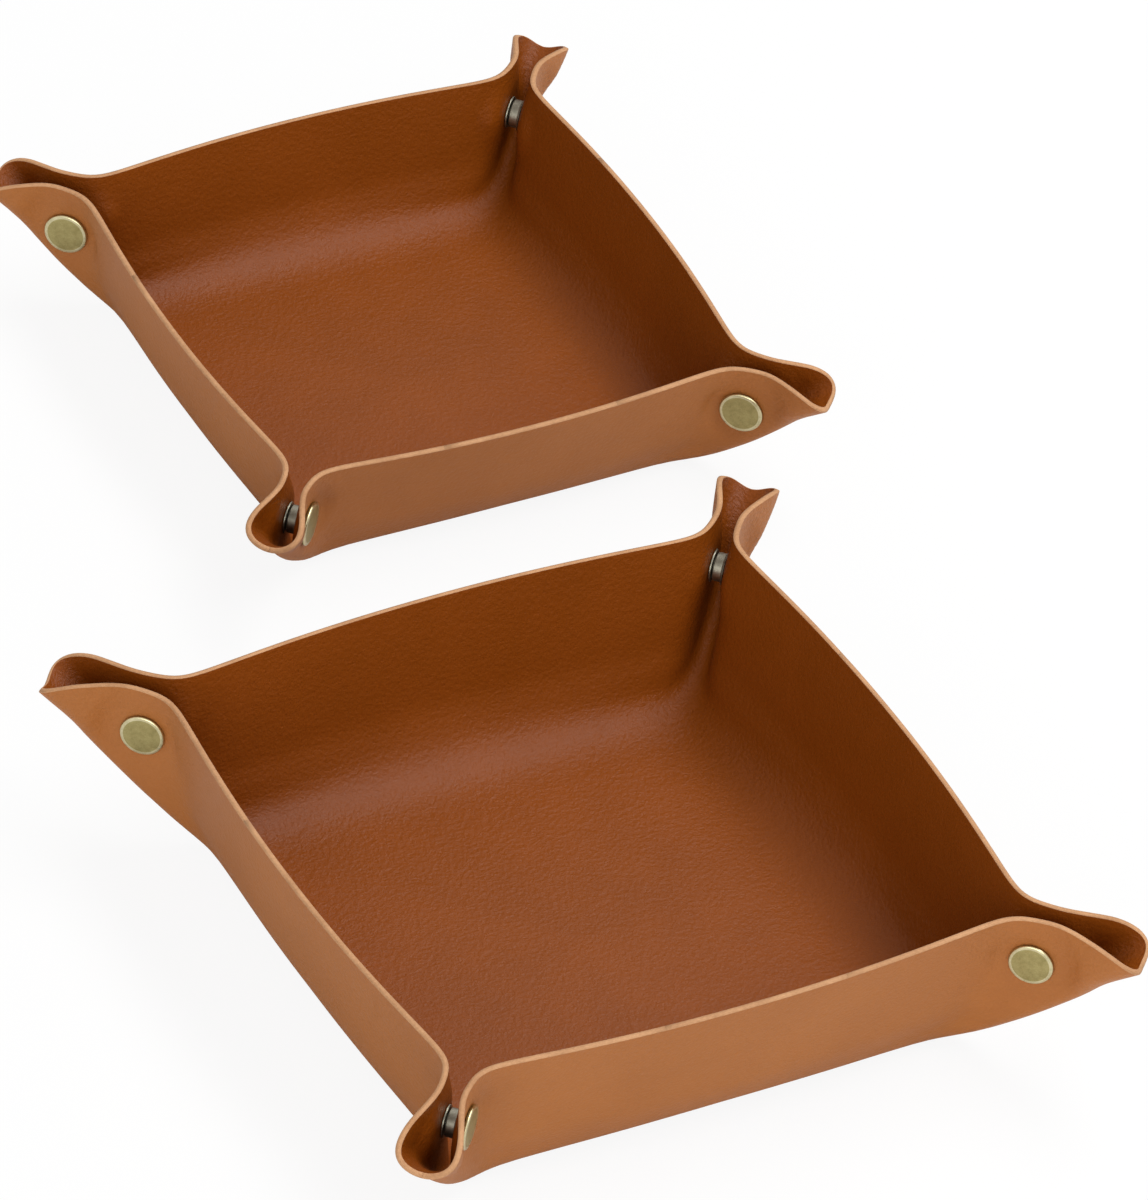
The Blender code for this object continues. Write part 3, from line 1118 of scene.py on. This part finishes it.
@dataclass
class Tray:
    """One tray: its folded leather and its four press studs."""

    name: str
    sheet: FoldedSheet
    placed: Matrix

    def build(self) -> None:
        """Builds and dresses the tray."""
        for piece in LeatherSheet(self.name, self.sheet, self.placed).build():
            LOG.info("%s: %d faces", piece.name, len(piece.data.polygons))
        for corner in Corner:
            stud = PressStud(self.name, corner, self.placed @ self.sheet.stud_frame(corner))
            LOG.info("%s %s press stud: %d pieces", self.name, corner.name, len(stud.build()))


# The studio


@dataclass(frozen=True)
class Softbox:
    """A soft lamp that lights the trays from one side."""

    name: str
    towards: Spot
    distance: float
    width: float
    height: float
    power: float

    def build(self, aim: Vector) -> None:
        """Puts the lamp up, facing the aim.

        Args:
            aim: The point that it faces.
        """
        light = bpy.data.lights.new(self.name, "AREA")
        light.shape = "RECTANGLE"
        light.size = self.width
        light.size_y = self.height
        light.energy = self.power
        lamp = bpy.data.objects.new(self.name, light)
        bpy.context.collection.objects.link(lamp)
        away = Vector(self.towards).normalized()
        lamp.location = aim + away * self.distance
        lamp.rotation_mode = "QUATERNION"
        lamp.rotation_quaternion = away.to_track_quat("Z", "Y")


@dataclass(frozen=True)
class Studio:
    """A pale floor, soft lamps and the camera at the photograph's angle."""

    camera_place: Spot = (-1.86656, -2.95681, 2.95230)
    heading: float = math.radians(57.914)
    downward: float = math.radians(39.033)
    roll: float = math.radians(6.101)
    lens: float = 512.75
    sight: float = 50.0
    floor_side: float = 6.0
    floor_shade: float = 0.86
    floor_roughness: float = 0.9
    floor_lift: float = 0.90
    daylight: float = 0.36
    aim: Spot = (0.02, 0.10, 0.02)
    lamps: tuple[Softbox, ...] = (
        Softbox("top_lamp", (0.42, -0.10, 0.90), 1.6, 2.1, 0.55, 25.0),
        Softbox("front_lamp", (-0.62, -0.72, 0.35), 2.2, 1.6, 1.6, 22.5),
    )

    def build(self) -> None:
        """Builds the floor, the lamps, the world and the camera."""
        self.lay_floor()
        self.light_world()
        for lamp in self.lamps:
            lamp.build(Vector(self.aim))
        self.set_camera()
        bpy.context.scene.view_settings.view_transform = "Standard"

    def set_camera(self) -> None:
        """Puts the camera where the photograph was taken from."""
        ahead = Vector((
            math.cos(self.heading) * math.cos(self.downward),
            math.sin(self.heading) * math.cos(self.downward),
            -math.sin(self.downward),
        ))
        right = Vector((math.sin(self.heading), -math.cos(self.heading), 0.0))
        up = right.cross(ahead)
        rolled_right = right * math.cos(self.roll) + up * math.sin(self.roll)
        rolled_up = up * math.cos(self.roll) - right * math.sin(self.roll)
        data = bpy.data.cameras.new("photo_camera")
        data.lens = self.lens
        data.clip_end = self.sight
        camera = bpy.data.objects.new("photo_camera", data)
        bpy.context.collection.objects.link(camera)
        axes = Matrix((rolled_right, rolled_up, -ahead)).transposed().to_4x4()
        camera.matrix_world = Matrix.Translation(self.camera_place) @ axes
        bpy.context.scene.camera = camera

    def lay_floor(self) -> None:
        """Lays the pale floor, which the camera sees as near white with the trays' shadow on it."""
        reach = self.floor_side / 2.0
        corners = [(x * reach, y * reach, 0.0) for x, y in ((-1, -1), (1, -1), (1, 1), (-1, 1))]
        mesh = bpy.data.meshes.new("studio_floor")
        mesh.from_pydata(corners, [], [(0, 1, 2, 3)])
        floor = bpy.data.objects.new("studio_floor", mesh)
        bpy.context.collection.objects.link(floor)
        material, nodes, shader = new_material("studio_floor")
        mesh.materials.append(material)
        shader.inputs["Base Color"].default_value = (*[self.floor_shade] * 3, 1.0)
        shader.inputs["Roughness"].default_value = self.floor_roughness
        shader.inputs["Specular IOR Level"].default_value = 0.0
        seen = nodes.ray("Camera")
        white = nodes.add("ShaderNodeEmission", None, {"Color": (1.0, 1.0, 1.0, 1.0), "Strength": 1.0})
        plain = Value(nodes.tree, shader.outputs[0])
        shown = nodes.add("ShaderNodeMixShader", None, {0: seen * self.floor_lift, 1: plain, 2: white})
        nodes.tree.links.new(shown.socket, nodes.tree.nodes["Material Output"].inputs["Surface"])

    def light_world(self) -> None:
        """Lights everything evenly, and shows white behind it."""
        world = bpy.data.worlds.new("studio")
        bpy.context.scene.world = world
        world.use_nodes = True
        nodes = Nodes(world.node_tree)
        background = world.node_tree.nodes["Background"]
        background.inputs["Color"].default_value = (1.0, 1.0, 1.0, 1.0)
        seen = nodes.ray("Camera") + nodes.ray("Glossy") + nodes.ray("Transmission")
        share = nodes.add("ShaderNodeMath", {"operation": "MINIMUM"}, {0: seen, 1: 1.0})
        connect(self.daylight + share * (1.0 - self.daylight), background, "Strength")


LARGE = FoldedSheet(
    sheet=0.254, corner_radius=0.0235, wall=0.0618, bend_radius=0.0193, bow=0.0027,
    stud_from_side=0.0376, ear_half_width=0.0078, droop=0.0054, foot_reach=0.0095,
)
SMALL = FoldedSheet(
    sheet=0.203, corner_radius=0.019, wall=0.0485, bend_radius=0.0155, bow=0.0024,
    stud_from_side=0.0300, ear_half_width=0.0073, droop=0.0050, foot_reach=0.0075,
)
SMALL_PLACE = Matrix.Translation((0.0675, 0.2305, 0.0)) @ Matrix.Rotation(math.radians(-1.0), 4, "Z")


def main() -> None:
    """Builds both trays and the studio."""
    logging.basicConfig(level=logging.INFO, format="%(name)s: %(message)s")
    for tray in (Tray("large", LARGE, Matrix()), Tray("small", SMALL, SMALL_PLACE)):
        tray.build()
    Studio().build()


if __name__ == "__main__":
    main()
